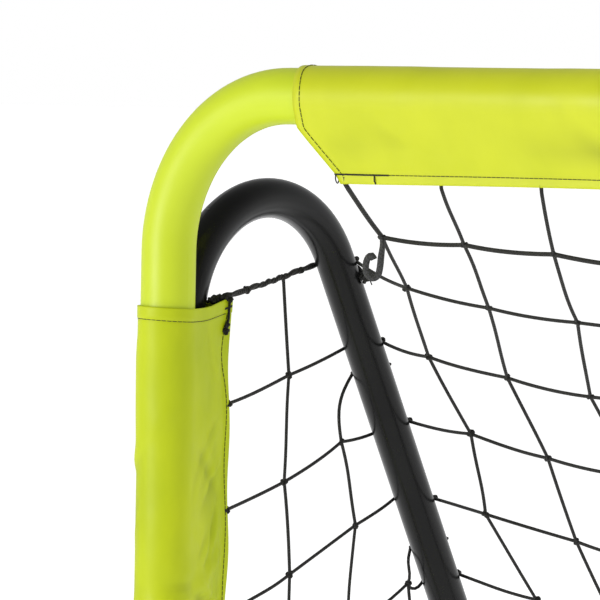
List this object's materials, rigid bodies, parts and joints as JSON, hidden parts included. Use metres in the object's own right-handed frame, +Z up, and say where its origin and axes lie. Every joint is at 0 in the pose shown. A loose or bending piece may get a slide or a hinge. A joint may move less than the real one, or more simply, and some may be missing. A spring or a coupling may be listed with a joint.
{
  "type": "folding sports goal with net",
  "caption": "Folding tubular steel hockey and sports goal: lime front frame with rounded corners, black arched rear frame, wrapped sleeves, wide-mesh net and swing-up ground bars.",
  "frame": {"origin": "middle of the footprint on the ground, at the centre of the bounding box's bottom face", "axes": "+X along the crossbar to the right of someone facing the mouth, +Y from the mouth back into the goal, +Z up"},
  "size_m": [1.98, 0.878, 1.2724],
  "materials": {
    "lime_frame": "lime powder coat, satin gloss",
    "black_frame": "black powder coat, gloss",
    "bare_steel": "zinc plated steel tube and plate",
    "zinc": "zinc plated fasteners",
    "nylon": "natural nylon",
    "black_plastic": "moulded black plastic",
    "black_rubber": "moulded black rubber",
    "lime_sleeve": "lime coated cloth, soft sheen",
    "net_cord": "black knotted cord"
  },
  "bodies": {
    "front_frame": {"left_corner_tube": "lime_frame", "right_corner_tube": "lime_frame", "crossbar_tube": "lime_frame", "left_post_tube": "lime_frame", "right_post_tube": "lime_frame", "crossbar_couplers": "bare_steel", "post_couplers": "bare_steel", "front_screws": "zinc", "left_hinge_ear": "lime_frame", "right_hinge_ear": "lime_frame", "hinge_bolts": "zinc", "hinge_nuts": "zinc", "hinge_spacers": "nylon", "left_foot_ear": "lime_frame", "right_foot_ear": "lime_frame", "foot_bolts": "zinc", "foot_nuts": "zinc", "foot_spacers": "nylon", "left_foot_cap": "black_rubber", "right_foot_cap": "black_rubber", "crossbar_sleeve": "lime_sleeve", "left_post_sleeve": "lime_sleeve", "right_post_sleeve": "lime_sleeve"},
    "rear_frame": {"left_arm_tube": "black_frame", "right_arm_tube": "black_frame", "left_rear_corner_tube": "black_frame", "right_rear_corner_tube": "black_frame", "rear_bar_tube": "black_frame", "arm_couplers": "bare_steel", "rear_bar_couplers": "bare_steel", "rear_screws": "zinc", "left_arm_tongue": "bare_steel", "right_arm_tongue": "bare_steel", "left_rear_foot": "black_rubber", "right_rear_foot": "black_rubber", "net_top": "net_cord", "net_back": "net_cord", "net_left": "net_cord", "net_right": "net_cord"},
    "left_bar": {"left_ground_bar": "black_frame", "left_bar_plug": "black_plastic", "left_bar_hook": "black_plastic"},
    "right_bar": {"right_ground_bar": "black_frame", "right_bar_plug": "black_plastic", "right_bar_hook": "black_plastic"}
  },
  "joints": [
    {"name": "rear_fold", "type": "hinge", "parent": "front_frame", "child": "rear_frame", "pos_m": [0, -0.36397, 0.981], "axis": [1, 0, 0], "range_deg": [-36, 0], "deforming": ["left_post_sleeve", "right_post_sleeve"]},
    {"name": "left_bar_lift", "type": "hinge", "parent": "front_frame", "child": "left_bar", "pos_m": [-0.903, -0.30597, 0.062], "axis": [1, 0, 0], "range_deg": [0, 90]},
    {"name": "right_bar_lift", "type": "hinge", "parent": "front_frame", "child": "right_bar", "pos_m": [0.903, -0.30597, 0.062], "axis": [1, 0, 0], "range_deg": [0, 90]}
  ]
}
